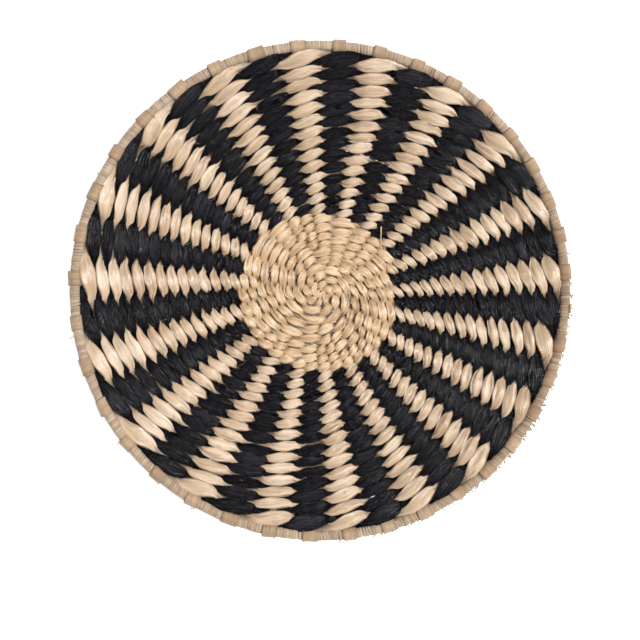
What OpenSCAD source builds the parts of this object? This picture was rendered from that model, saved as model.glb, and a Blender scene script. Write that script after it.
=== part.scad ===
// A round twined mat: a shallow dish of natural and black husk strips.
// Two strands are twined in one spiral round 38 flat warps. In the outer zone one strand is
// natural and the other black, and each passes over every second warp, which makes the columns.
// Angles are azimuths: clockwise from +Y, seen from above. The mat stands on z = 0.

/* [Mat] */
// Diameter over the folded warp tabs
mat_d = 250; // [240:1:260]
// Rise of the rim above the flat middle
dish_rise = 16; // [8:1:20]
// Radius of the flat middle
flat_r = 38; // [30:1:45]
// Thickness of the weave
weave_t = 6.6; // [6.2:0.1:7.2]

/* [Weft] */
// Radius of the last natural turn of the centre disc
disc_r = 38.4; // [37:0.2:40]
// Spacing of the turns in the centre disc
centre_pitch = 4.3; // [4.1:0.05:4.4]
// Gap between the stitches of neighbouring turns
row_gap = 0.25; // [0.2:0.05:0.5]
// Length of husk strip between two splices
strip_l = 90; // [80:5:140]

/* [Warps] */
// Width of a warp near the rim
warp_w = 3.4; // [2.4:0.1:3.6]
// Width of a warp in the centre disc
inner_w = 1.9; // [1.4:0.1:2.1]
// Thickness of a warp
warp_t = 0.6; // [0.4:0.05:0.6]
// Distance at which each warp passes the middle of the mat
warp_miss = 4; // [3:0.5:4.5]
// Width of the tab that is folded over the rim
tab_w = 7.4; // [5:0.2:8]
// Thickness of the folded tab
tab_t = 0.7; // [0.5:0.05:0.7]

/* [Rim] */
// Diameter of the hoop inside the rim
hoop_d = 3; // [2:0.1:3.4]
// Thickness of the raffia wound on the hoop
binding_t = 1; // [0.6:0.05:1]

/* [Hidden] */
warp_count = 38;
rows = 14;
centre_turns = 8.3;
centre_strips = 10;
start_warp = 7;            // the black strand first shows over this warp
first_az = 8.25;
warp_step = 360 / warp_count;
az_swing = 5.9;            // the warps stand closer together on one side of the mat
swing_az = 10;
bowl_power = 1.6;
step_turn = 0.1;           // part of a turn over which the spiral steps out by one row
row_growth = 0.89;         // the rows get wider towards the rim
half_t = weave_t / 2;
binding_r = hoop_d / 2 + binding_t;
tab_gap = 0.2;
tab_r = binding_r + tab_gap + tab_t / 2;
hoop_r = mat_d / 2 - tab_r - tab_t / 2;
last_r = hoop_r - binding_r - tab_gap - tab_t - row_gap - 2.9;
inner_v = warp_t / 2 + 0.35;      // the over strand's underside, above the weave's middle
cross_v = 1.5;                    // half height of a strand where it crosses its partner
cross_u = 0.12;                   // half the gap between two crossing strands
splice_gap = 0.03;                // of a warp spacing
crest_share = 0.31;               // half width of a stitch's top, of its whole width
wide_s = 90;                      // where the warps reach their full width
bridge_s = 12;                    // where the through warps turn towards each other
layer_v = warp_t / 2 + 0.03;
e = 0.01;

natural = "#d2b38a";
black = "#25242a";
warp_tan = "#c6a578";
raffia = "#dcc6a2";

function two_digits(n) = n < 10 ? str("0", n) : str(n);
function row_names(kind) = [for (n = [1:rows]) str(kind, "_weft_row_", two_digits(n))];
function strip_names(strand) =
    [for (n = [1:centre_strips]) str("centre_strand_", strand, "_strip_", two_digits(n))];

// The dish: height and slope of the weave's middle surface at a radius.
function bowl_x(r) = max(0, r - flat_r) / (hoop_r - flat_r);
function mid_z(r) = half_t + dish_rise * pow(bowl_x(r), bowl_power);
function mid_slope(r) =
    atan(dish_rise * bowl_power * pow(bowl_x(r), bowl_power - 1) / (hoop_r - flat_r));

// A point given by azimuth, radius, and offsets along and square to the middle surface.
function place(az, r, u, v) =
    let (s = mid_slope(r), q = r + u * cos(s) - v * sin(s))
    [q * sin(az), q * cos(az), mid_z(r) + u * sin(s) + v * cos(s)];

// The warps: each lies on a straight line that passes the middle at warp_miss.
function rim_az(k) =
    let (p = first_az + k * warp_step) p + az_swing * cos(p - swing_az);
function warp_az(k, r) =
    rim_az(k) + asin(min(1, warp_miss / r)) - asin(warp_miss / hoop_r);
function line_az(k) = rim_az(k) - asin(warp_miss / hoop_r);
function along(r) = sqrt(r * r - warp_miss * warp_miss);

// Eight warps go through the middle. The others start further out, in the widening gaps: some
// within the disc, and those beside a through warp near the disc's edge or just past it.
function is_through(i) = len([for (q = [0:7]) if (round(q * warp_count / 8) == i) q]) > 0;
function is_beside(i) =
    is_through((i + 1) % warp_count) || is_through((i + warp_count - 1) % warp_count);
function spread(i) = i * 0.618 - floor(i * 0.618);
function warp_start(i) =
    is_through(i) ? (i % 19 == 0 || i % 19 == 10 ? 0 : 5)
    : !is_beside(i) ? 10.5 + 15 * spread(i)
    : min(disc_r + 0.5, disc_r - 12 + 24 * spread(i));

// The spiral: whole turns are round, and step out by one row just after start_az. Past the
// last turn a short tail narrows between the last row and the rim.
start_az = warp_az(start_warp, disc_r);
function row_r(m) =
    let (x = m / rows)
    m < 0 ? disc_r + centre_pitch * m
          : disc_r + (last_r - disc_r) * x * (row_growth + (1 - row_growth) * x);
function ease(x) = let (y = min(1, x)) y * y * (3 - 2 * y);
function row_at(az) =
    let (t = (az - start_az) / 360, n = floor(t), f = t - n,
         w = min(1, max(0, (n + centre_turns) / 6)))
    n + f + w * (ease(f / step_turn) - f);
function full_w(m) = row_r(m + 0.5) - row_r(m - 0.5) - row_gap;
function stitch_w(az) =
    let (m = row_at(az)) m > rows ? last_r - row_r(m - 1) - row_gap : full_w(m);
function weft_r(az) =
    let (m = row_at(az)) m > rows ? last_r + (full_w(rows) - stitch_w(az)) / 2 : row_r(m);
function crossing_az(k) = warp_az(k, weft_r(warp_az(k, weft_r(rim_az(k) + 2))));

// One ring of four points round a strand, for a phase in half turns of the twist.
// Phase 0 is over a warp, 1 is under it, and the halves are the crossings between warps.
function ring(az, phase) =
    let (w = stitch_w(az), r = weft_r(az),
         crest = [[-w / 2, inner_v], [w / 2, inner_v],
                  [crest_share * w, half_t], [-crest_share * w, half_t]],
         cross = [[cross_u, cross_v], [cross_u, -cross_v],
                  [w / 2, 0], [w / 2, 0]],
         base = phase % 1 == 0 ? crest : cross,
         sign = phase % 2 < 1 ? 1 : -1)
    [for (p = base) place(az, r, sign * p[0], sign * p[1])];

// A closed strip through a list of rings, with its faces split so that partners stay apart.
function side(a, b, split) = split == 0 ? [[a[0], a[1], b[1]], [a[0], b[1], b[0]]]
                                        : [[a[0], a[1], b[0]], [a[1], b[1], b[0]]];
module strip(rings) {
    n = len(rings);
    polyhedron(
        points = [for (g = rings) each g],
        faces = concat(
            [[0, 1, 2], [0, 2, 3]],
            [for (j = [0:n - 2]) for (c = [0:3])
                each side([4 * j + (c + 1) % 4, 4 * j + c],
                          [4 * j + 4 + (c + 1) % 4, 4 * j + 4 + c], c == 0 ? 0 : 1)],
            [[4 * n - 2, 4 * n - 3, 4 * n - 4], [4 * n - 1, 4 * n - 2, 4 * n - 4]]));
}

// A strip that starts and ends under a warp. azs are the azimuths of the warps that it crosses.
// A flat strip has a level face under each warp, on which the mat stands.
function pressed(az, phase) =
    let (d = 0.1 * warp_step) [ring(az - d, phase), ring(az + d, phase)];
function strip_rings(azs, first_phase, flat) =
    let (n = len(azs) - 1, d = splice_gap * warp_step)
    concat(
        [ring(azs[0] + d, first_phase)],
        [for (j = [0:n - 1]) each concat(
            [ring((azs[j] + azs[j + 1]) / 2, first_phase + j + 0.5)],
            j == n - 1 ? []
            : flat && (first_phase + j + 1) % 2 == 1 ? pressed(azs[j + 1], 1)
            : [ring(azs[j + 1], first_phase + j + 1)])],
        [ring(azs[n] - d, first_phase + n)]);

// One turn of the natural or the black strand in the two-colour zone.
module coloured_row(n, shift) {
    turn_l = 2 * PI * row_r(n);
    count = max(3, round(turn_l / strip_l));
    first = start_warp + shift + warp_count * (n - 1);
    for (q = [0:count - 1]) {
        from = first + 2 * round(q * warp_count / 2 / count);
        tail = n == rows && q == count - 1 ? 2 : 0;
        to = first + 2 * round((q + 1) * warp_count / 2 / count) + tail;
        strip(strip_rings([for (k = [from:to]) crossing_az(k)], 1, false));
    }
}
module natural_row(n) {
    color(natural) coloured_row(n, 0);
}
module black_row(n) {
    color(black) coloured_row(n, -1);
}

// The centre disc: the warps that its turns cross, in order, up to the first black stitch.
centre_azs = [for (k = [start_warp - ceil(centre_turns * warp_count):start_warp])
    let (i = (k + 100 * warp_count) % warp_count, a = crossing_az(k))
    if (k >= start_warp - 1 || warp_start(i) < weft_r(a)) a];
module centre_strip(n, shift) {
    last = len(centre_azs) - 1 - shift;
    pairs = floor(last / 2);
    from = last - 2 * round(pairs * (centre_strips - n + 1) / centre_strips);
    to = last - 2 * round(pairs * (centre_strips - n) / centre_strips);
    color(natural)
        strip(strip_rings([for (j = [from:to]) centre_azs[j]], 1, shift == 0));
}

// A flat band along a centre line of [distance, height] points.
function unit(p) = p / norm(p);
function band(path, t) =
    let (n = len(path) - 1,
         way = [for (j = [0:n]) unit(path[min(n, j + 1)] - path[max(0, j - 1)])],
         left = [for (j = [0:n]) [-way[j][1], way[j][0]]])
    concat([for (j = [0:n]) path[j] + left[j] * t / 2],
           [for (j = [n:-1:0]) path[j] - left[j] * t / 2]);
module across(w) {
    rotate([90, 0, 90]) linear_extrude(w, center = true) children();
}
function rim_point(u, v) =
    let (s = mid_slope(hoop_r))
    [along(hoop_r) + u * cos(s) - v * sin(s), mid_z(hoop_r) + u * sin(s) + v * cos(s)];

// One warp from s0 outwards, with its tab folded round the bound hoop.
arm_end = -tab_r - 0.9;
module warp_arm(i, s0) {
    steps = 6;
    s1 = rim_point(arm_end, 0)[0];
    ds = (s1 - s0) / steps;
    narrow = max(s0 + 1, disc_r);
    rotate([0, 0, -line_az(i)]) translate([warp_miss, 0, 0]) {
        intersection() {
            across(3 * warp_w) polygon(band(
                [for (j = [0:steps]) let (s = s0 + j * ds)
                    [s, mid_z(norm([s, warp_miss]))]], warp_t));
            linear_extrude(mat_d) polygon([
                [-inner_w / 2, s0 - 1], [-inner_w / 2, narrow], [-warp_w / 2, wide_s],
                [-warp_w / 2, s1 + 1], [warp_w / 2, s1 + 1], [warp_w / 2, wide_s],
                [inner_w / 2, narrow], [inner_w / 2, s0 - 1]]);
        }
        across(tab_w) polygon(band(concat(
            [rim_point(arm_end - 0.4, 0), rim_point(arm_end + 0.25, -0.05)],
            [for (a = [190:25:490]) rim_point(tab_r * cos(a), tab_r * sin(a))]), tab_t));
    }
}

// Two arms joined across the middle. Pairs of through warps lie in two layers.
function line_point(i, s) =
    let (a = line_az(i)) [s * sin(a) + warp_miss * cos(a), s * cos(a) - warp_miss * sin(a)];
function bezier(a, b, c, d, t) =
    let (q = 1 - t) q * q * q * a + 3 * q * q * t * b + 3 * q * t * t * c + t * t * t * d;
function bridge_point(i, j, t) =
    bezier(line_point(i, bridge_s + 0.4), 0.4 * line_point(i, 2), 0.4 * line_point(j, 2),
           line_point(j, bridge_s + 0.4), t);
module through_warp(i, j, layer) {
    steps = 12;
    half_w = inner_w / 2 - 0.1;
    thin = warp_t / 2 - 0.05;
    warp_arm(i, bridge_s);
    warp_arm(j, bridge_s);
    strip([for (q = [0:steps])
        let (t = q / steps, p = bridge_point(i, j, t),
             way = unit(bridge_point(i, j, min(1, t + e)) - bridge_point(i, j, max(0, t - e))),
             out = [-way[1], way[0]] * half_w,
             v = half_t + layer * layer_v * min(1, 2 * sin(180 * t)))
        [[p[0] - out[0], p[1] - out[1], v - thin], [p[0] + out[0], p[1] + out[1], v - thin],
         [p[0] + out[0], p[1] + out[1], v + thin], [p[0] - out[0], p[1] - out[1], v + thin]]]);
}
module through_warps() {
    color(warp_tan) {
        through_warp(0, 24, 1);
        through_warp(5, 19, 1);
        through_warp(10, 33, -1);
        through_warp(14, 29, -1);
    }
}
module inserted_warps(from_r, to_r) {
    color(warp_tan)
        for (i = [0:warp_count - 1])
            if (!is_through(i) && warp_start(i) >= from_r && warp_start(i) < to_r)
                warp_arm(i, along(warp_start(i)));
}

// The rim: a hoop, and the raffia wound on it in one bay between each two tabs.
module rim_ring(from, to, inner, outer) {
    rotate([0, 0, 90 - to]) rotate_extrude(angle = to - from, $fn = 180)
        translate([hoop_r, mid_z(hoop_r)]) difference() {
            circle(outer, $fn = 32);
            if (inner > 0) circle(inner, $fn = 32);
        }
}
module rim_hoop() {
    color(warp_tan) rim_ring(0, 360, 0, hoop_d / 2);
}
module rim_binding() {
    bay_gap = 0.1;
    color(raffia)
        for (i = [0:warp_count - 1])
            rim_ring(rim_az(i) + bay_gap / 2, rim_az(i + 1) - bay_gap / 2,
                     hoop_d / 2 + 0.05, binding_r);
}

through_warps();
inserted_warps(0, 22);  // inserted_warps_early
inserted_warps(22, disc_r - 6);  // inserted_warps_middle
inserted_warps(disc_r - 6, disc_r + 1);  // inserted_warps_late
rim_hoop();
rim_binding();
for (n = [1:centre_strips]) {
    centre_strip(n, 0);
    centre_strip(n, 1);
}
for (n = [1:rows]) {
    natural_row(n);
    black_row(n);
}
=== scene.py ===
"""A round twined husk mat, drawn strand by strand round the frame of its CAD model.

Two husk strands are twined in one spiral round 38 flat warps. Lengths here are millimetres and
azimuths are degrees, clockwise from +Y seen from above; meshes go out in metres.
"""

import math

import bpy
import numpy as np
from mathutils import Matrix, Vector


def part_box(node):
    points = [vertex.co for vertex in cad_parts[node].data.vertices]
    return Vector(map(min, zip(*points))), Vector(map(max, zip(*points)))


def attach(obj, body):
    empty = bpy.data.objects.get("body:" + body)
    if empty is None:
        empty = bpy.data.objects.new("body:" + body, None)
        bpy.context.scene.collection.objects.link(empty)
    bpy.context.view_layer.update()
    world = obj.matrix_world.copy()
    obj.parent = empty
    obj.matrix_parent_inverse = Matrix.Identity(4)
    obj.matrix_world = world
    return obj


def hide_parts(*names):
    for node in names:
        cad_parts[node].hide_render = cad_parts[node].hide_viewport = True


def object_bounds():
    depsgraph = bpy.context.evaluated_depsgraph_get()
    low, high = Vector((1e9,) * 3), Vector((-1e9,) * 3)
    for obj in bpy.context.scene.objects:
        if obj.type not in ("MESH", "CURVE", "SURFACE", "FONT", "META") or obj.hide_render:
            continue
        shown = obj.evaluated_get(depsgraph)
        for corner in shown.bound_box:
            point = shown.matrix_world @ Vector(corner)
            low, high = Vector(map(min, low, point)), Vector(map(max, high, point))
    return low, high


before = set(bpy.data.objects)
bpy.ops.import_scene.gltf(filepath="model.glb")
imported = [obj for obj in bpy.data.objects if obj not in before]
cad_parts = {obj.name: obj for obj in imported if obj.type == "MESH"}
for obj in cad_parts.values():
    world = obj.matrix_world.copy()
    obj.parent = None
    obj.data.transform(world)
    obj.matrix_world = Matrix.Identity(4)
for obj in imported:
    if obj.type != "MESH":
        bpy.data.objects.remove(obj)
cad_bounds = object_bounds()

MM = 0.001


def corners(node):
    """A CAD node's lowest and highest corners, in millimetres."""
    lo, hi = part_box(node)
    return np.array(lo) / MM, np.array(hi) / MM


# ---------------------------------------------------------------- the mat's dimensions
hoop_lo, hoop_hi = corners("rim_hoop")
bind_lo, bind_hi = corners("rim_binding")
HOOP_CORE = (hoop_hi[2] - hoop_lo[2]) / 2    # radius of the hoop's own section
HOOP_R = hoop_hi[0] - HOOP_CORE              # from the mat's middle to the hoop's
RIM_Z = (hoop_hi[2] + hoop_lo[2]) / 2
BIND_R = (bind_hi[2] - bind_lo[2]) / 2       # radius of the hoop's section with its binding
HALF_T = corners("centre_strand_a_strip_05")[1][2] / 2    # half the weave's thickness
RISE = RIM_Z - HALF_T                        # from the flat middle up to the rim
BOWL_POWER = 1.6                             # how late the dish turns up towards the rim
FLAT_R = 38.0                                # the dish is flat inside this radius
LOWEST = 0.03                                # nothing of the weave goes lower

WARPS = 38
WARP_STEP = 360 / WARPS
WARP_MISS = 4.0        # each warp's line passes this far from the middle
FIRST_AZ = 8.25        # azimuth of warp 0, before the swing below
AZ_SWING = 5.9         # the warps are crowded on one side of the mat and spread on the other
SWING_AZ = 10.0
TAB_W = 7.4            # the warps' ends, folded round the rim
TAB_T = 0.7
TAB_R = BIND_R + 0.2 + TAB_T / 2             # from the hoop's middle

ROWS = 14              # two-colour turns
DISC_R = 38.4          # where the two-colour turns begin
LAST_R = HOOP_R - BIND_R - 4.05              # the last two-colour turn
RIM_INNER = HOOP_R - BIND_R + 0.3            # the rim's inner side
CENTRE_PITCH = 4.3     # from turn to turn in the disc
CENTRE_TURNS = 8.3
CIRCLE_TURNS = 6       # the spiral turns into stepped circles over this many of them
MORE_TURNS = 0.42      # the soft strands go on further into the middle than the CAD strips
ROW_GROWTH = 0.89      # below 1, the turns are wider towards the rim
STEP_TURN = 0.1        # part of a turn in which the pair steps out to the next circle
START_WARP = 7         # where the black strand begins
TAIL = 2               # warps that the pair passes after its last full turn
FILL_FROM = 0.034      # where after the tail the last turn begins to fill its room, in turns
FILL_TURN = 0.02       # and over how much of a turn
CENTRE_STRIPS = 10


def sind(a):
    return np.sin(np.radians(a))


def cosd(a):
    return np.cos(np.radians(a))


def asind(x):
    return np.degrees(np.arcsin(x))


def smooth(x):
    y = np.clip(x, 0, 1)
    return y * y * (3 - 2 * y)


def near(az, centre, half):
    """1 at an azimuth, falling to 0 at half a width from it."""
    return smooth(1 - np.abs((az - centre + 180) % 360 - 180) / half)


def mid_z(r):
    """Height of the weave's middle surface."""
    return HALF_T + RISE * (np.maximum(0, r - FLAT_R) / (HOOP_R - FLAT_R)) ** BOWL_POWER


def mid_slope(r):
    """Its slope, in degrees."""
    x = np.maximum(0, r - FLAT_R) / (HOOP_R - FLAT_R)
    return np.degrees(np.arctan(RISE * BOWL_POWER * x ** (BOWL_POWER - 1) / (HOOP_R - FLAT_R)))


def place(az, r, u, v):
    """Points at an azimuth and radius, moved along (u) and square to (v) the middle surface."""
    s = mid_slope(r)
    q = r + u * cosd(s) - v * sind(s)
    z = mid_z(r) + u * sind(s) + v * cosd(s)
    return np.stack([q * sind(az), q * cosd(az), np.maximum(z, LOWEST)], axis=-1)


# ---------------------------------------------------------------- warps and the spiral
def rim_az(k):
    """Azimuth of warp k at the rim. k goes on counting from turn to turn."""
    p = FIRST_AZ + k * WARP_STEP
    return p + AZ_SWING * cosd(p - SWING_AZ)


def warp_az(k, r):
    """Azimuth of warp k at a radius. It's not quite radial, because the warp misses the middle."""
    return rim_az(k) + asind(np.minimum(1, WARP_MISS / r)) - asind(WARP_MISS / HOOP_R)


def line_az(k):
    """Direction of warp k's straight line."""
    return rim_az(k) - asind(WARP_MISS / HOOP_R)


THROUGH_ENDS = 8
THROUGH = sorted({int(math.floor(q * WARPS / THROUGH_ENDS + 0.5)) for q in range(THROUGH_ENDS)})
GOLDEN = 0.618         # spreads the inserted warps' starts evenly


def warp_start(i):
    """The radius at which a warp begins. Eight of them go through the middle."""
    part = i * GOLDEN % 1
    if i in THROUGH:
        return 0 if i % (WARPS // 2) in (0, 10) else 5
    if (i + 1) % WARPS in THROUGH or (i - 1) % WARPS in THROUGH:
        return min(DISC_R + 0.5, DISC_R - 12 + 24 * part)
    return 10.5 + 15 * part


START_AZ = warp_az(START_WARP, DISC_R)


def row_r(m):
    """Radius of row m: 0 is the first two-colour turn, and the disc's turns are negative."""
    m = np.asarray(m, dtype=float)
    x = m / ROWS
    outer = DISC_R + (LAST_R - DISC_R) * x * (ROW_GROWTH + (1 - ROW_GROWTH) * x)
    return np.where(m < 0, DISC_R + CENTRE_PITCH * m, outer)


def row_at(az):
    """Row number along the spiral. It grows evenly in the middle and in steps further out."""
    t = (np.asarray(az, dtype=float) - START_AZ) / 360
    n = np.floor(t)
    f = t - n
    w = np.clip((n + CENTRE_TURNS) / CIRCLE_TURNS, 0, 1)
    return n + f + w * (smooth(f / STEP_TURN) - f)


def row_bump(m, row, reach):
    """1 on a row, falling to 0 at reach rows from it."""
    return smooth(1 - np.abs(m - row) / reach)


def row_gap_shift(az, m):
    """How the weaver's hand moved the rows: the disc is off the middle, there are two slack
    places between rows, and the rows wander a little all round."""
    turn = np.mod(az, 360)
    r = row_r(np.minimum(m, ROWS))
    early = -2.3 * near(turn, 18, 75) * smooth((r - 8) / 22) * smooth((78 - r) / 38)
    slack = 0.55 * near(turn, 22, 34) * (row_bump(m, 7.05, 0.95) - row_bump(m, 5.95, 0.9))
    slack2 = 0.35 * near(turn, 200, 22) * (row_bump(m, 9.05, 0.95) - row_bump(m, 8, 0.9))
    drift = 0.16 * sind(3 * turn + 70 * m) + 0.12 * sind(7 * turn - 110 * m)
    return early + slack + slack2 + drift * smooth((ROWS - m) / 1.5) * smooth((m + 9) / 3)


def weft_path(az):
    """Radius of the twined pair at an azimuth, and the width there is for it."""
    m = row_at(az)
    turn = (np.asarray(az, dtype=float) - START_AZ) / 360
    tail = turn >= ROWS
    below = np.where(tail, m - 1, m)
    half = (row_r(below + 0.5) - row_r(below - 0.5)) / 2
    inner = row_r(below) + np.where(tail, half, -half)
    # the last turn fills the room up to the rim as soon as the tail is past
    fills = np.where(tail, 1, smooth((turn - ROWS + 1 - FILL_FROM) / FILL_TURN))
    outer = row_r(below) + half
    outer = outer + (RIM_INNER - outer) * fills
    return (inner + outer) / 2 + row_gap_shift(az, m), outer - inner


def crossing_az(k):
    """Azimuth at which the spiral crosses warp k."""
    a = rim_az(k) + 2
    for _ in range(2):
        a = warp_az(k, weft_path(a)[0])
    return float(a)


def crossings():
    """Azimuth of each warp that the spiral crosses, in order. Also which of them is START_WARP,
    and how many come before the CAD model's first one."""
    cad_first = START_WARP - math.ceil(CENTRE_TURNS * WARPS)
    first = cad_first - math.ceil(MORE_TURNS * WARPS)
    last = START_WARP + ROWS * WARPS + TAIL + 1
    azs, start, extra = [], 0, 0
    for k in range(first, last + 1):
        a = crossing_az(k)
        if k < START_WARP - 1 and warp_start(k % WARPS) >= weft_path(a)[0]:
            continue
        extra += k < cad_first
        if k == START_WARP:
            start = len(azs)
        azs.append(a)
    return np.array(azs), start, extra


SEQ, START, EXTRA = crossings()
END = START + ROWS * WARPS + TAIL

# ---------------------------------------------------------------- mesh building
FIBRE_W = 8.0       # width of the flat husk strip that is gathered into a strand
SEEDS = 50          # range of the number that picks a strip's fibre pattern
BACK_SHIFT = 37     # takes the back's fibre pattern from another part of the husk
MAP_EDGE = 0.04     # free edge round each patch of the surface map
MAP_FILL = 1 - 2 * MAP_EDGE
CAP_UV = 0.001      # the hidden ends share one corner of the map


def tube(rings, attributes, cells):
    """Closed tube through rings of points. attributes are (ring, side) arrays by name, cells the
    ring number at which each new patch of the surface map starts."""
    n, sides = rings.shape[:2]
    verts = rings.reshape(-1, 3)
    i = np.arange(n - 1)[:, None]
    j = np.arange(sides)[None, :]
    k = (j + 1) % sides
    quads = np.stack([i * sides + j, (i + 1) * sides + j, (i + 1) * sides + k, i * sides + k], -1)
    quads = quads.reshape(-1, 4)
    # each patch between two cell starts is laid out flat in its own square of the map
    cells = np.asarray(cells)
    cell = np.searchsorted(cells, np.arange(n - 1), side="right") - 1
    ends = np.append(cells[1:], n - 1)
    across = math.ceil(math.sqrt(len(cells)))
    span = (ends - cells)[cell]
    start = cells[cell]

    def laid(ring_offset, side_offset):
        x = (np.arange(n - 1) + ring_offset - start) / span
        y = (j + side_offset) / sides
        x = ((cell % across) + MAP_EDGE + MAP_FILL * x) / across
        y = ((cell // across)[:, None] + MAP_EDGE + MAP_FILL * y) / across
        return np.stack([np.broadcast_to(x[:, None], y.shape), y], -1)

    uv = np.stack([laid(0, 0), laid(1, 0), laid(1, 1), laid(0, 1)], 2).reshape(-1, 2)
    caps = [list(range(sides)), [(n - 1) * sides + c for c in range(sides - 1, -1, -1)]]
    cap_uv = np.full((2 * sides, 2), CAP_UV)
    spread = {a: np.broadcast_to(v, (n, sides)).reshape(-1) for a, v in attributes.items()}
    return {"verts": verts, "quads": quads, "caps": caps, "uv": uv, "cap_uv": cap_uv,
            "attributes": spread}


def build(name, tubes, material, nodes=()):
    """One object from several tubes, in metres, riding on the mat's one body."""
    across = math.ceil(math.sqrt(len(tubes)))
    faces, uvs, verts, values = [], [], [], {}
    base = 0
    for number, t in enumerate(tubes):
        verts.append(t["verts"])
        faces += (t["quads"] + base).tolist() + [[v + base for v in c] for c in t["caps"]]
        shift = np.array([number % across, number // across])
        uvs += [(t["uv"] + shift) / across, (t["cap_uv"] + shift) / across]
        for a, v in t["attributes"].items():
            values.setdefault(a, []).append(v)
        base += len(t["verts"])
    mesh = bpy.data.meshes.new(name)
    mesh.from_pydata((np.concatenate(verts) * MM).tolist(), [], faces)
    mesh.uv_layers.new(name="OFBake").data.foreach_set("uv", np.concatenate(uvs).reshape(-1))
    for a, v in values.items():
        mesh.attributes.new(a, "FLOAT", "POINT").data.foreach_set("value", np.concatenate(v))
    mesh.shade_smooth()
    mesh.materials.append(material)
    piece = bpy.data.objects.new(name, mesh)
    bpy.context.scene.collection.objects.link(piece)
    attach(piece, "root")
    if nodes:
        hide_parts(*nodes)
    return piece


def wander(rng, t, count=4, lowest=0.15, highest=1.1):
    """A smooth random curve between about -1 and 1."""
    rate = rng.uniform(lowest, highest, count)
    phase = rng.uniform(0, 2 * math.pi, count)
    return np.sin(2 * math.pi * rate * np.asarray(t)[..., None] + phase).mean(-1) * 1.4


def section(sides, across, up):
    """Unit cross-section of a husk strip: across (-1 to 1) and height (-1 to 1). Powers below 1
    make it squarer across and flatter on top."""
    a = 2 * np.pi * (np.arange(sides) + 0.5) / sides
    x, y = np.cos(a), np.sin(a)
    return np.sign(x) * np.abs(x) ** across, np.sign(y) * np.abs(y) ** up


def fibre_across(x, y):
    """Place across the flat husk, for the fibre pattern on a strip's two faces."""
    return x[None, :] * FIBRE_W / 2 + 0.5 * (1 - np.sign(y)) * BACK_SHIFT


CREASE_W = 0.15     # half width of a crease, of the strip's half width
CREASE_REACH = 0.75
CREASE_WANDER = 0.22


def creased(x, y, t, rng, count, depth):
    """Lowers the strip's surface along a few lines that wander slowly along it. Gives the new
    heights and how deep each point is in a crease."""
    face = np.sign(y) * np.sqrt(np.abs(y))
    out = np.broadcast_to(y, (len(t), len(y))).copy()
    groove = np.zeros_like(out)
    for _ in range(count):
        line = rng.uniform(-CREASE_REACH, CREASE_REACH) + CREASE_WANDER * wander(rng, t)
        deep = depth * np.clip(0.55 + 0.6 * wander(rng, t), 0.05, 1.3)
        flip = rng.choice([-1, 1]) if count < 3 else 1
        here = np.exp(-(((flip * x)[None, :] - line[:, None]) / CREASE_W) ** 2)
        groove += deep[:, None] * here
    return out - groove * face[None, :], groove


# ---------------------------------------------------------------- the weft
SIDES = 24              # points round a strand
STEP_L = 1.2            # length of a step along a strand
STITCH_STEPS = (7, 14)  # fewest and most steps in a stitch
EASE = 1.5              # above 1, a strand lies longer over its warp and changes sides faster
NECK_POWER = 2.3        # and keeps its full width for longer
CREST_T = 1.45          # half thickness over a warp
NECK_T = 1.95           # half height where the strip stands on its edge
FACE_GAP = 0.06         # from a strand's top to the weave's top face
BULGE = 0.3             # how far a crease or a turned strand may stand out of that face
CREST_W = {"centre": 0.545, "natural": 0.535, "black": 0.56}   # half width on a warp, of its room
NECK_W = {"centre": 0.325, "natural": 0.272, "black": 0.272}   # the same where two strands cross
NECK_U = {"centre": 0.20, "natural": 0.268, "black": 0.268}    # and how far each stands aside
PAINTED_EDGE_FROM = {"centre": 0.8, "natural": 0.8, "black": 0.55}     # where a strip's painted edge shade begins
CREASE_D = {"centre": 0.4, "natural": 0.36, "black": 0.55}     # depth of the creases
CREASES = 5
PAINTED_EDGE_SHADE = 0.85        # how dark that painted edge shade gets
PAINTED_SHADE_V = 1.5            # painted shade: a strand is darker nearer than this to the weave's middle surface
REACH_L = {"centre": 0, "natural": 0.035, "black": 0.035}  # how far black reaches into natural
ROLL = 15               # how far a strand turns as it changes sides, in degrees
ROLL_LIFT = 0.6         # the part of its edges' rise that the rows beside it leave it
FACE_TWIST = 0.14       # how far its flat faces tilt, at random
TAIL_END = 0.62         # where the strands end, in stitches after the last warp
STITCH_SEED = 1.7       # moves the fibre pattern from stitch to stitch
stitch_rng = np.random.default_rng(11)
N_SEQ = len(SEQ) + 4

STITCH = {
    s: {
        "width": np.clip(stitch_rng.normal(1.0, 0.075, N_SEQ), 0.91, 1.2),
        "shift": np.clip(stitch_rng.normal(0, 0.14, N_SEQ), -0.3, 0.3),
        "lift": np.clip(stitch_rng.normal(0, 0.13, N_SEQ), -0.35, 0.15),
        "tilt": stitch_rng.normal(0, 9, N_SEQ),
        "tone": stitch_rng.uniform(0, 1, N_SEQ),
        "slide": np.clip(stitch_rng.normal(0, 0.035, N_SEQ), -0.08, 0.08),
    }
    for s in "ab"
}


CHANGE_W = 0.28         # part of a stitch in which its values change into the next one's


def per_stitch(values, t):
    """A value for each stitch, changing over at the crossings, where it is tucked in."""
    n = np.floor(t).astype(int)
    w = smooth((t - n - (1 - CHANGE_W) / 2) / CHANGE_W)
    n = np.clip(n, 0, N_SEQ - 2)
    return values[n] * (1 - w) + values[n + 1] * w


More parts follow.
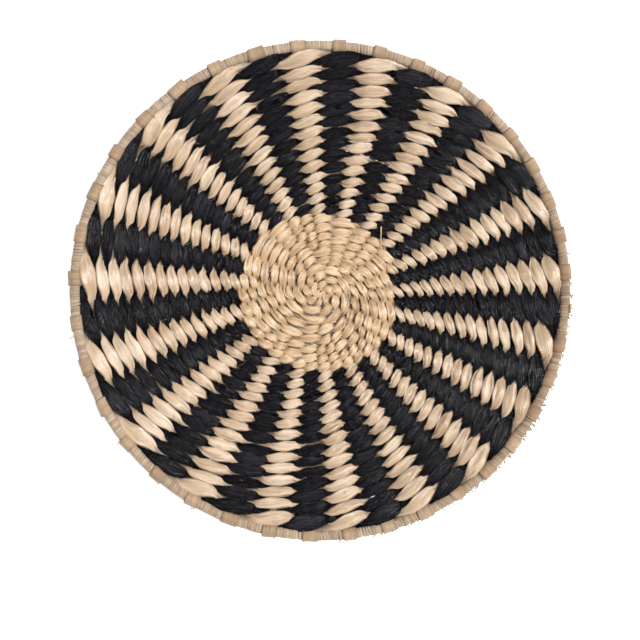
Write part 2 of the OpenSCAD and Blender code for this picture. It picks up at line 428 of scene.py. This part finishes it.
def strand(which, kind, q0, q1):
    """One strand between two warps that it passes under. Strand a is over odd steps from START."""
    rng = np.random.default_rng([q0 + 50, q1, ord(which)])
    steps = []
    cells = []
    for q in range(q0, q1):
        az = SEQ[min(q, len(SEQ) - 2):][:2]
        pitch = math.radians(az[1] - az[0]) * float(weft_path(az[:1])[0][0])
        n = int(np.clip(round(pitch / STEP_L), *STITCH_STEPS))
        cells.append(len(steps))
        steps += [q + s / n for s in range(n)]
    t = np.array(steps + [q1])
    t = t[t < END + TAIL_END]
    cells = [c for c in cells if c < len(t) - 1]
    value = {key: per_stitch(v, t) for key, v in STITCH[which].items()}

    slide = value["slide"] - REACH_L[kind] * np.sin(np.pi * (t - START - 1))
    az = np.interp(t + slide, np.arange(len(SEQ)), SEQ)
    r, room = weft_path(az)
    q = np.round(t)
    d = t - q
    crest = START + (1 if which == "a" else 0)
    phase = np.pi * (q + 0.5 * np.sign(d) * np.abs(2 * d) ** EASE - crest)
    neck = np.abs(2 * d) ** NECK_POWER
    half_w = (CREST_W[kind] * value["width"] * (1 - neck) + NECK_W[kind] * neck) * room
    thick = CREST_T + (NECK_T - CREST_T) * neck
    rise = HALF_T - CREST_T - FACE_GAP + value["lift"] * (1 - neck)
    u0 = NECK_U[kind] * room * np.sin(phase) + value["shift"] * (1 - neck)
    v0 = rise * np.cos(phase)

    x, y = section(SIDES, 0.85, 0.55)
    y, groove = creased(x, y, t, rng, CREASES, CREASE_D[kind])
    roll = np.radians(ROLL * np.sin(2 * phase) + value["tilt"] * (1 - neck))[:, None]
    xs = half_w[:, None] * x[None, :]
    ys = thick[:, None] * (y + FACE_TWIST * (wander(rng, t) * (1 - neck))[:, None] * x[None, :])
    u = u0[:, None] + xs * np.cos(roll) + ys * np.sin(roll)
    v = v0[:, None] - ROLL_LIFT * xs * np.sin(roll) + ys * np.cos(roll)
    rings = place(az[:, None], r[:, None], u, np.clip(v, -HALF_T, HALF_T + BULGE))

    along = np.concatenate([[0], np.cumsum(np.radians(np.diff(az)) * r[1:])])
    # painted shade: the strip is darkest deep in the weave and at its edges, where the next row
    # covers it
    edge_shade = (np.abs(x)[None, :] - PAINTED_EDGE_FROM[kind]) / (1 - PAINTED_EDGE_FROM[kind]) * PAINTED_EDGE_SHADE
    deep = np.maximum(1 - np.abs(v) / PAINTED_SHADE_V, edge_shade)
    return tube(
        rings,
        {
            "fibre_x": fibre_across(x, y),
            "fibre_y": along[:, None],
            "seed": (rng.uniform(0, SEEDS) + STITCH_SEED * np.round(t))[:, None],
            "tone": value["tone"][:, None],
            "deep": np.clip(deep, 0, 1),
            # how deep each point is in a crease, which the material paints as shade
            "groove": np.clip(groove / CREASE_D[kind], 0, 1),
            "pale": np.full((1, 1), 0.0 if kind == "centre" else 1.0),
        },
        cells,
    )


START_FOLD = 1.2        # height of the husk's first fold over and under the middle surface


def start_fold(v):
    """The husk's first fold in the very middle, where the two strands are one strip."""
    rng = np.random.default_rng(5)
    points, width, thick = 33, 3.1, 1.1
    t = np.linspace(-1, 1, points)
    az = 40 + 300 * t
    reach = 3.9 * t
    path = np.stack([reach * sind(az), reach * cosd(az), HALF_T + v + 0.2 * t], 1)
    return ribbon(path, np.cross(np.gradient(path, axis=0), [0, 0, 1.0]),
                  np.full(points, width), np.full(points, thick), rng, creases=2, tone=0.4)


def sequence_range(strand_name, kind, n):
    """First and last step of one CAD node's length of strand. Both are under a warp."""
    shift = 0 if strand_name == "a" else -1
    if kind == "row":
        first = START + shift + WARPS * (n - 1)
        return first, first + WARPS if n < ROWS else END - shift
    last = START - EXTRA + shift
    ends = [START + shift - 2 * math.floor((last // 2) * (CENTRE_STRIPS - m) / CENTRE_STRIPS + 0.5)
            for m in (n - 1, n)]
    if n == 1:
        ends[0] = (START + shift) % 2
    return ends


# ---------------------------------------------------------------- materials
def new_material(name):
    m = bpy.data.materials.new(name)
    m.use_nodes = True
    m.node_tree.nodes.clear()
    return m, m.node_tree.nodes, m.node_tree.links


STREAK_SEED = 3.7       # distance in the noise between two strips' patterns
TONE, BROAD, FINE, MIX_LESS = 0.5, 0.7, 0.6, 0.38    # shares that drive the colour ramp
STAIN_AT = (0.60, 0.74)  # a stain begins and is full where the blotch noise is at these
STAIN_MOST = 0.62
# painted shade in the strips' creases
PAINTED_CREASE_SHADE = 0.28
STREAK_H = {"fine": 0.6, "hair": 0.4, "broad": 0.8}  # the streaks' shares of the bump's height
BUMP_H = 1.3 * MM


def husk_material(name, colours, rough, bump, stain, gloss, bloom=0.25, pale=(1, 1, 1), dark=0.6):
    """Flat plant fibre: long streaks, a tone for each stitch, brown stains, and painted shade in
    the folds, at the edges and deep in the weave. pale is a tint for the strips outside the disc,
    and dark how dark the painted shade at the edges and deep in the weave gets."""
    m, nodes, links = new_material(name)

    def node(kind, **values):
        n = nodes.new(kind)
        for key, v in values.items():
            if key in n.inputs.keys():
                n.inputs[key].default_value = v
            else:
                setattr(n, key, v)
        return n

    def attribute(a):
        return node("ShaderNodeAttribute", attribute_name=a).outputs["Fac"]

    def maths(op, a, b, clamp=False):
        n = node("ShaderNodeMath", operation=op, use_clamp=clamp)
        for socket, v in zip(n.inputs, (a, b)):
            if isinstance(v, (int, float)):
                socket.default_value = v
            else:
                links.new(v, socket)
        return n.outputs[0]

    def mapped(value, values):
        """A map range from values[0], values[1] to values[2], values[3]."""
        n = node("ShaderNodeMapRange", clamp=True)
        for key, v in zip(("From Min", "From Max", "To Min", "To Max"), values):
            n.inputs[key].default_value = v
        links.new(value, n.inputs["Value"])
        return n.outputs["Result"]

    def mix(blend, factor, a, colour):
        """Colour a mixed with a constant colour."""
        n = node("ShaderNodeMix", data_type="RGBA", blend_type=blend)
        both = [socket for socket in n.inputs if socket.type == "RGBA"]
        links.new(factor, n.inputs["Factor"])
        links.new(a, both[0])
        both[1].default_value = (*colour, 1)
        return [socket for socket in n.outputs if socket.type == "RGBA"][0]

    def streaks(across, along, detail, roughness=0.6):
        """Noise stretched along the fibres, at these scales per millimetre."""
        where = node("ShaderNodeCombineXYZ")
        links.new(maths("MULTIPLY", attribute("fibre_x"), across), where.inputs[0])
        links.new(maths("MULTIPLY", attribute("fibre_y"), along), where.inputs[1])
        links.new(maths("MULTIPLY", attribute("seed"), STREAK_SEED), where.inputs[2])
        n = node("ShaderNodeTexNoise", Scale=1.0, Detail=detail, Roughness=roughness)
        links.new(where.outputs[0], n.inputs["Vector"])
        return n.outputs["Fac"]

    broad = streaks(0.55, 0.035, 2.0)
    fine = streaks(1.5, 0.07, 3.0, 0.7)
    hair = streaks(3.6, 0.14, 2.0)
    blotch = streaks(0.28, 0.11, 3.0)

    ramp = node("ShaderNodeValToRGB")
    ramp.color_ramp.elements[0].position = 0.0
    ramp.color_ramp.elements[0].color = (*colours[0], 1)
    ramp.color_ramp.elements[1].position = 1.0
    ramp.color_ramp.elements[1].color = (*colours[-1], 1)
    for i, colour in enumerate(colours[1:-1], 1):
        e = ramp.color_ramp.elements.new(i / (len(colours) - 1))
        e.color = (*colour, 1)
    mixed = maths("ADD", maths("MULTIPLY", attribute("tone"), TONE),
                  maths("MULTIPLY", broad, BROAD))
    mixed = maths("ADD", mixed, maths("MULTIPLY", fine, FINE))
    mixed = maths("SUBTRACT", mixed, MIX_LESS, clamp=True)
    links.new(mixed, ramp.inputs["Fac"])

    stained = mix("MIX", mapped(blotch, (*STAIN_AT, 0.0, STAIN_MOST)), ramp.outputs["Color"], stain)
    tinted = mix("MULTIPLY", attribute("pale"), stained, pale)
    # painted shade: darker deep in the weave, at the strips' edges and in their creases
    shade = maths("ADD", maths("MULTIPLY", attribute("deep"), dark),
                  maths("MULTIPLY", attribute("groove"), PAINTED_CREASE_SHADE))
    keep = maths("SUBTRACT", 1.0, shade, clamp=True)
    shaded = node("ShaderNodeVectorMath", operation="SCALE")
    links.new(tinted, shaded.inputs[0])
    links.new(keep, shaded.inputs["Scale"])

    shader = node("ShaderNodeBsdfPrincipled")
    links.new(shaded.outputs[0], shader.inputs["Base Color"])
    links.new(mapped(fine, (0.3, 0.7, *rough)), shader.inputs["Roughness"])
    shader.inputs["Specular IOR Level"].default_value = gloss
    shader.inputs["Sheen Weight"].default_value = bloom
    shader.inputs["Sheen Roughness"].default_value = 0.45

    height = maths("ADD", maths("MULTIPLY", fine, STREAK_H["fine"]),
                   maths("MULTIPLY", hair, STREAK_H["hair"]))
    height = maths("ADD", height, maths("MULTIPLY", broad, STREAK_H["broad"]))
    bumped = node("ShaderNodeBump", Strength=bump)
    bumped.inputs["Distance"].default_value = BUMP_H
    links.new(height, bumped.inputs["Height"])
    links.new(bumped.outputs["Normal"], shader.inputs["Normal"])
    output = node("ShaderNodeOutputMaterial")
    links.new(shader.outputs[0], output.inputs["Surface"])
    return m


NATURAL = husk_material(
    "natural_husk",
    [(0.38, 0.22, 0.11), (0.58, 0.38, 0.21), (0.68, 0.47, 0.275), (0.78, 0.58, 0.375)],
    rough=(0.20, 0.33), bump=0.4, stain=(0.36, 0.17, 0.07), gloss=0.6, pale=(0.93, 0.99, 1.14))
BLACK = husk_material(
    "black_husk",
    [(0.0022, 0.0018, 0.0034), (0.0048, 0.0041, 0.0067), (0.0095, 0.0085, 0.0125),
     (0.026, 0.0245, 0.033)],
    rough=(0.17, 0.33), bump=1.2, stain=(0.012, 0.008, 0.006), gloss=0.30, bloom=0.0, dark=0.95)
WARP = husk_material(
    "warp_husk",
    [(0.28, 0.16, 0.088), (0.40, 0.265, 0.16), (0.49, 0.34, 0.215), (0.57, 0.42, 0.285)],
    rough=(0.42, 0.62), bump=0.8, stain=(0.32, 0.13, 0.05), gloss=0.4)
RAFFIA = husk_material(
    "raffia",
    [(0.28, 0.165, 0.09), (0.44, 0.305, 0.195), (0.56, 0.415, 0.285), (0.69, 0.55, 0.405)],
    rough=(0.40, 0.6), bump=0.7, stain=(0.34, 0.16, 0.08), gloss=0.4)


# ---------------------------------------------------------------- weft pieces
def add_weft():
    """The disc's husk strips and the two-colour rows, one object for each CAD node."""
    for n in range(1, CENTRE_STRIPS + 1):
        for s in "ab":
            parts = [strand(s, "centre", *sequence_range(s, "centre", n))]
            if n == 1:
                parts.append(start_fold(START_FOLD if s == "a" else -START_FOLD))
            build(f"husk_strip_{s}_{n:02d}", parts, NATURAL,
                  [f"centre_strand_{s}_strip_{n:02d}"])
    for n in range(1, ROWS + 1):
        for s, colour, material in (("a", "natural", NATURAL), ("b", "black", BLACK)):
            q0, q1 = sequence_range(s, "row", n)
            build(f"{colour}_twined_row_{n:02d}", [strand(s, colour, q0, q1)], material,
                  [f"{colour}_weft_row_{n:02d}"])


# ---------------------------------------------------------------- warps and rim tabs
CREASE_RATE = 1 / 6     # how fast a ribbon's creases wander, per millimetre
PATCH_RINGS = 6         # rings of a ribbon in one patch of the surface map


def ribbon(path, side, width, thick, rng, sides=12, creases=2, depth=0.25, tone=0.5, square=0.5,
           edge_shade=0.45):
    """A flat strip along a path. side is the direction of its width at each point, and the last
    argument says how dark the painted shade on its two edges is."""
    way = np.gradient(path, axis=0)
    way /= np.linalg.norm(way, axis=1, keepdims=True)
    side = side - (side * way).sum(1, keepdims=True) * way
    side /= np.linalg.norm(side, axis=1, keepdims=True)
    up = np.cross(side, way)
    along = np.concatenate([[0], np.cumsum(np.linalg.norm(np.diff(path, axis=0), axis=1))])
    x, y = section(sides, square, square)
    y, groove = creased(x, y, along * CREASE_RATE, rng, creases, depth)
    rings = (path[:, None, :] + side[:, None, :] * (width[:, None] / 2 * x)[:, :, None]
             + up[:, None, :] * (thick[:, None] / 2 * y)[:, :, None])
    cells = list(range(0, len(path) - 1, PATCH_RINGS))
    return tube(
        rings,
        {
            "fibre_x": fibre_across(x, y),
            "fibre_y": along[:, None],
            "seed": np.full((1, sides), rng.uniform(0, SEEDS)),
            "tone": np.reshape(tone, (-1, 1)),
            # painted shade along the strip's two edges
            "deep": edge_shade * np.clip((np.abs(x)[None, :] - 0.7) / 0.25, 0, 1),
            # how deep each point is in a crease, which the material paints as shade
            "groove": np.clip(groove / depth, 0, 1) * 0.5,
            "pale": np.zeros((1, 1)),
        },
        cells,
    )


def unit_az(a):
    """Unit vector at an azimuth."""
    return np.array([sind(a), cosd(a), 0.0])


def line_place(i, s, z):
    """A point on warp i's line: s along it from the middle, z high."""
    a = line_az(i)
    return s * unit_az(a) + WARP_MISS * unit_az(a + 90) + np.array([0, 0, z])


def hoop_place(u, v):
    """Distance along a warp's line and height, for a place beside the hoop's middle."""
    s = mid_slope(HOOP_R)
    reach = math.sqrt(HOOP_R ** 2 - WARP_MISS ** 2)
    return reach + u * cosd(s) - v * sind(s), RIM_Z + u * sind(s) + v * cosd(s)


FRAYED_TAB = 9          # this tab is torn off short and narrow
FRAYED_END = 400
FRAYED_W = 0.6
PAINTED_SHADE_AZ = 105         # painted shade: the rim's husk and raffia are darker round this azimuth, as far as this to each side
PAINTED_SHADE_HALF = 80          # as far as this to each side
INNER_RINGS = 46
TAB_FROM = 196          # a tab goes round the hoop, in degrees from the outer side and up:
TAB_WIDE = 230          # it begins on the inside, has its full width here,
TAB_END = (512, 530)    # and ends on the inside again, after passing below, outside and on top
TAB_STEP = 9


def warp_path(i, s0, rng):
    """Centre line and widths of warp i from s0 out, round the hoop and back on top."""
    inner = np.linspace(s0, hoop_place(-TAB_R - 1.1, 0)[0], INNER_RINGS)
    points = [line_place(i, s, float(mid_z(math.hypot(s, WARP_MISS)))) for s in inner]
    width = list(np.interp(inner, [s0, s0 + 3, DISC_R, 90], [1.0, 1.8, 1.9, 3.4]))
    end = rng.uniform(*TAB_END)
    sweep = np.arange(TAB_FROM, end if i != FRAYED_TAB else FRAYED_END, TAB_STEP)
    proud = rng.uniform(0, 0.45)
    for a in sweep:
        rr = TAB_R - 0.14 + proud * math.cos(math.radians(a) / 2) ** 2
        points.append(line_place(i, *hoop_place(rr * cosd(a), rr * sind(a))))
    w = TAB_W * rng.uniform(0.86, 1.2) * (FRAYED_W if i == FRAYED_TAB else 1)
    wave = 1 + 0.06 * wander(rng, np.linspace(0, 1, len(sweep)), 3, 0.5, 2)
    width += list(np.interp(sweep, [TAB_FROM, TAB_WIDE], [3.6, w]) * wave)
    return np.array(points), np.array(width)


EARLY_R = 22            # inserted warps that begin inside this radius are the early ones
LATE_R = DISC_R - 6     # and outside this one, the late ones
THROUGH_R = 12.0        # inside this the through warps are drawn as pairs that cross
WARP_T = 0.55
FOLDED_T = 0.5
CROSSINGS = ((0, 24, 1), (5, 19, 1), (10, 33, -1), (14, 29, -1))   # two spokes, above or below


def crossing_warp(i, j, layer, rng):
    """The middle of a through warp, one smooth bend from spoke i to spoke j."""
    points, width, thick = 25, 1.8, 0.5
    outer, pull = THROUGH_R + 0.4, 0.4
    a, b, c, d = (line_place(i, outer, 0), pull * line_place(i, 2, 0),
                  pull * line_place(j, 2, 0), line_place(j, outer, 0))
    t = np.linspace(0, 1, points)[:, None]
    path = (1 - t) ** 3 * a + 3 * (1 - t) ** 2 * t * b + 3 * (1 - t) * t * t * c + t ** 3 * d
    path[:, 2] = HALF_T + layer * 0.33 * np.minimum(1, 2 * sind(180 * t[:, 0]))
    way = np.gradient(path, axis=0)
    side = np.stack([way[:, 1], -way[:, 0], 0 * way[:, 0]], 1)
    return ribbon(path, side, np.full(points, width), np.full(points, thick), rng, depth=0.2)


def add_warps():
    """The 38 warps with their rim tabs, in the CAD model's four groups."""
    rng = np.random.default_rng(23)
    groups = {"through_warps": [], "inserted_warps_early": [],
              "inserted_warps_middle": [], "inserted_warps_late": []}
    for i in range(WARPS):
        start = warp_start(i)
        s0 = THROUGH_R if i in THROUGH else math.sqrt(start ** 2 - WARP_MISS ** 2)
        path, width = warp_path(i, s0, rng)
        thick = np.interp(np.arange(len(path)), [0, INNER_RINGS - 1, INNER_RINGS + 4],
                          [WARP_T, WARP_T, FOLDED_T])
        skew = unit_az(line_az(i) + 90 + rng.normal(0, 4.0))
        side = np.tile(skew, (len(path), 1))
        # painted shade: the tabs on one side of the rim are darker
        tone = rng.uniform(0.1, 0.9) - 0.5 * near(rim_az(i), PAINTED_SHADE_AZ, PAINTED_SHADE_HALF)
        made = ribbon(path, side, width, thick, rng, creases=3, depth=0.35, tone=tone)
        if i in THROUGH:
            group = "through_warps"
        elif start < EARLY_R:
            group = "inserted_warps_early"
        elif start < LATE_R:
            group = "inserted_warps_middle"
        else:
            group = "inserted_warps_late"
        groups[group].append(made)
    for i, j, layer in CROSSINGS:
        groups["through_warps"].append(crossing_warp(i, j, layer, rng))
    for node, tubes in groups.items():
        build(f"{node}_husk", tubes, WARP, [node])


# ---------------------------------------------------------------- rim binding
WINDS = 506             # turns of raffia on the whole rim
WIND_RINGS = 16         # rings in a turn
WIND_R = BIND_R - 0.31  # from the hoop's middle to the thread's
WIND_T = 0.78
WIND_W = 1.18           # width of the thread, of the room that a turn has


def add_binding():
    """Raffia thread wound on the hoop, one long helix cut into a length for each bay."""
    rng = np.random.default_rng(31)
    tubes = []
    bounds = [rim_az(k) for k in range(WARPS + 1)]
    for first, last in zip(bounds, bounds[1:]):
        bay = last - first
        turns = round(WINDS / WARPS * bay / WARP_STEP)
        n = turns * WIND_RINGS
        t = np.arange(n + 1) / WIND_RINGS
        slip = 0.10 * wander(rng, t, 5, 0.1, 0.9)
        az = first + bay * (t + slip * np.sin(np.pi * t / turns)) / turns
        rr = WIND_R + 0.14 * wander(rng, t, 5, 0.2, 1.5)
        s = mid_slope(HOOP_R)
        u, v = rr * cosd(360 * t), rr * sind(360 * t)
        q = HOOP_R + u * cosd(s) - v * sind(s)
        z = RIM_Z + u * sind(s) + v * cosd(s)
        path = np.stack([q * sind(az), q * cosd(az), z], 1)
        centre = np.stack([HOOP_R * sind(az), HOOP_R * cosd(az), np.full_like(az, RIM_Z)], 1)
        way = np.gradient(path, axis=0)
        outward = path - centre
        side = np.cross(way, outward)
        pitch = 2 * np.pi * HOOP_R * bay / 360 / turns
        width = pitch * (WIND_W + 0.35 * wander(rng, t, 5, 0.3, 1.2))
        per_wind = rng.uniform(-0.4, 0.4, turns + 2)
        tone = rng.uniform(0.55, 0.85) + per_wind[np.round(t).astype(int)] + 0.15 * wander(rng, t)
        # painted shade: the raffia on one side of the rim is darker
        tone = tone - 0.75 * near(az, PAINTED_SHADE_AZ, PAINTED_SHADE_HALF)
        tubes.append(ribbon(path, side, width, np.full(n + 1, WIND_T), rng, sides=8, creases=1,
                            depth=0.2, tone=tone, square=0.7, edge_shade=0.6))
    build("rim_binding_raffia", tubes, RAFFIA, ["rim_binding"])


def dress_hoop():
    """The hidden hoop keeps its CAD shape and gets a cane material."""
    m, nodes, links = new_material("cane")
    where = nodes.new("ShaderNodeTexCoord")
    grain = nodes.new("ShaderNodeTexNoise")
    grain.inputs["Scale"].default_value = 900.0
    ramp = nodes.new("ShaderNodeValToRGB")
    ramp.color_ramp.elements[0].color = (0.30, 0.18, 0.08, 1)
    ramp.color_ramp.elements[1].color = (0.56, 0.39, 0.21, 1)
    bump = nodes.new("ShaderNodeBump")
    bump.inputs["Distance"].default_value = 0.1 * MM
    shader = nodes.new("ShaderNodeBsdfPrincipled")
    shader.inputs["Roughness"].default_value = 0.6
    output = nodes.new("ShaderNodeOutputMaterial")
    links.new(where.outputs["Object"], grain.inputs["Vector"])
    links.new(grain.outputs["Fac"], ramp.inputs["Fac"])
    links.new(grain.outputs["Fac"], bump.inputs["Height"])
    links.new(ramp.outputs["Color"], shader.inputs["Base Color"])
    links.new(bump.outputs["Normal"], shader.inputs["Normal"])
    links.new(shader.outputs[0], output.inputs["Surface"])
    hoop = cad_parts["rim_hoop"]
    for s in hoop.material_slots:
        s.material = m


# ---------------------------------------------------------------- loose fibres
HAIR_RINGS = 9
HAIR_SIDE = np.array([0.3, 0.5, 0.8])
HAIR_TAPER = 0.6
HAIR_FLAT = 0.7         # a fibre's thickness, of its width
HAIR_LOWEST = 0.3
RIM_ENDS, WEAVE_ENDS, BLACK_ENDS = 400, 110, 12
FRAYED_SIDE = 128       # most of the rim's short ends are round this azimuth
FRAYED_SHARE = 0.94     # this share of them
BLACK_END_AZ = 98       # the black strand's frayed end
STUBS = ((95.4, 4.8), (96.1, 4.3), (99.6, 4.4))      # azimuth, and reach past the hoop's middle
# two pale splinters that lie on the weave: azimuth and radius of each end, and the fibre's radius
SPLINTERS = ((43.5, 45.0, 56.0, 37.0, 0.5), (116.0, 80.5, 117.6, 76.5, 0.14))


def upright(z):
    return np.array([0, 0, z])


def hair(start, end, sag, radius, rng, tone):
    """A tapering fibre from start to end, bent at random."""
    t = np.linspace(0, 1, HAIR_RINGS)[:, None]
    bend = np.array([rng.normal(), rng.normal(), 0.6 * rng.normal()]) * sag
    path = start * (1 - t) + end * t + bend * np.sin(np.pi * t) * 0.5
    path[:, 2] = np.maximum(path[:, 2], HAIR_LOWEST)
    side = np.tile(HAIR_SIDE, (HAIR_RINGS, 1))
    width = 2 * radius * (1 - HAIR_TAPER * t[:, 0])
    return ribbon(path, side, width, width * HAIR_FLAT, rng, sides=5, creases=0, depth=0.1,
                  tone=tone, edge_shade=0)


def add_fibres():
    """Short ends all over, most on the rim's right side, and two splinters."""
    rng = np.random.default_rng(47)
    pale, dark = [], []
    for _ in range(RIM_ENDS):       # short ends on the rim, most of them on one side
        a = rng.normal(FRAYED_SIDE, 26) if rng.random() < FRAYED_SHARE else rng.uniform(0, 360)
        r = HOOP_R + rng.uniform(0.8, 3.1)
        z = RIM_Z + rng.uniform(-0.8, 1.6)
        start = r * unit_az(a) + upright(z)
        length = rng.uniform(1.2, 3.3)
        way = unit_az(a + rng.normal(0, 35)) * length + upright(rng.uniform(-0.6, 0.5))
        pale.append(hair(start, start + way, 0.7, rng.uniform(0.14, 0.38), rng, rng.uniform(0, 1)))
    for _ in range(WEAVE_ENDS):     # ends that stand out of the weave
        a = rng.uniform(0, 360)
        r = rng.uniform(20, LAST_R)
        start = place(a, r, 0, 2.6)
        way = unit_az(a + rng.uniform(-90, 90)) * rng.uniform(1.5, 4.5)
        end = start + way + upright(rng.uniform(0.2, 1.3))
        group = pale if rng.random() < 0.6 else dark
        group.append(hair(start, end, 0.8, rng.uniform(0.06, 0.13), rng, rng.uniform(0.1, 1)))
    for _ in range(BLACK_ENDS):     # the black strand's frayed end, inside the rim
        a = rng.normal(BLACK_END_AZ, 1.6)
        start = (HOOP_R - 4.5) * unit_az(a) + upright(RIM_Z + 2.4)
        end = start + unit_az(a + rng.normal(0, 25)) * rng.uniform(2, 4.5)
        dark.append(hair(start, end, 0.8, rng.uniform(0.12, 0.3), rng, rng.uniform(0.1, 1)))
    for a, reach in STUBS:          # and its stubs outside the rim
        start = (HOOP_R + 1.2) * unit_az(a) + upright(RIM_Z + 1.6)
        end = (HOOP_R + reach) * unit_az(a + 0.5) + upright(RIM_Z + 0.4)
        dark.append(hair(start, end, 0.4, 0.4, rng, 0.5))
    build("loose_fibres_natural", pale, RAFFIA)
    build("loose_fibres_black", dark, BLACK)
    splinters = [hair(place(a0, r0, 0, 3.55), place(a1, r1, 0, 3.45), 0.6, radius, rng, 0.7)
                 for a0, r0, a1, r1, radius in SPLINTERS]
    build("loose_splinters", splinters, NATURAL)


# ---------------------------------------------------------------- stage, light and camera
def plain_material(name, colour, rough, glow):
    m, nodes, links = new_material(name)
    shader = nodes.new("ShaderNodeBsdfPrincipled")
    shader.inputs["Base Color"].default_value = (*colour, 1)
    shader.inputs["Roughness"].default_value = rough
    shader.inputs["Emission Color"].default_value = (1, 1, 1, 1)
    shader.inputs["Emission Strength"].default_value = glow
    output = nodes.new("ShaderNodeOutputMaterial")
    links.new(shader.outputs[0], output.inputs["Surface"])
    return m


FLOOR_W = 60.0          # metres, so that a low view sees no edge
FLOOR_DROP = 0.2 * MM


def add_floor():
    mesh = bpy.data.meshes.new("floor")
    h = FLOOR_W / 2
    mesh.from_pydata([(-h, -h, 0), (h, -h, 0), (h, h, 0), (-h, h, 0)], [], [(0, 1, 2, 3)])
    mesh.materials.append(plain_material("floor_white", (0.93, 0.93, 0.93), 0.9, glow=0.75))
    floor = bpy.data.objects.new("floor", mesh)
    floor.location.z = -FLOOR_DROP
    bpy.context.scene.collection.objects.link(floor)


def add_light(name, az, elevation, distance, size, power):
    data = bpy.data.lights.new(name, "AREA")
    data.shape = "DISK"
    data.size = size
    data.energy = power
    light = bpy.data.objects.new(name, data)
    flat = cosd(elevation) * distance
    light.location = (flat * sind(az), flat * cosd(az), sind(elevation) * distance)
    light.rotation_euler = (math.radians(90 - elevation), 0, math.radians(180 - az))
    bpy.context.scene.collection.objects.link(light)


def add_world(strength):
    world = bpy.data.worlds.new("studio")
    world.use_nodes = True
    back = world.node_tree.nodes["Background"]
    back.inputs["Color"].default_value = (1, 1, 1, 1)
    back.inputs["Strength"].default_value = strength
    bpy.context.scene.world = world


MAT_IN_VIEW = 0.7875    # the mat's width, of the view's
VIEW_SHIFT = 0.046      # how far the camera is moved towards the viewer, of the view's width
FOCAL, SENSOR = 85.0, 36.0


def add_camera():
    """Straight above. The mat fills four fifths of the width and sits a little above the middle."""
    mat_w = cad_bounds[1][0] - cad_bounds[0][0]
    view_w = mat_w / MAT_IN_VIEW
    height = view_w * FOCAL / SENSOR
    data = bpy.data.cameras.new("camera")
    data.lens = FOCAL
    data.sensor_width = SENSOR
    camera = bpy.data.objects.new("camera", data)
    camera.location = (0, -VIEW_SHIFT * view_w, height + RIM_Z * MM)
    bpy.context.scene.collection.objects.link(camera)
    bpy.context.scene.camera = camera


add_camera()
add_weft()
add_warps()
add_binding()
dress_hoop()
add_fibres()
add_floor()
add_world(0.22)
# both from the right, so the left side of the dish, which faces them, is the brighter one
add_light("key", az=80, elevation=55, distance=4.0, size=1.1, power=102)
add_light("gloss", az=88, elevation=72, distance=4.0, size=0.4, power=108)
add_light("top_fill", az=330, elevation=75, distance=1.5, size=1.2, power=2)
bpy.context.scene.view_settings.view_transform = "Standard"
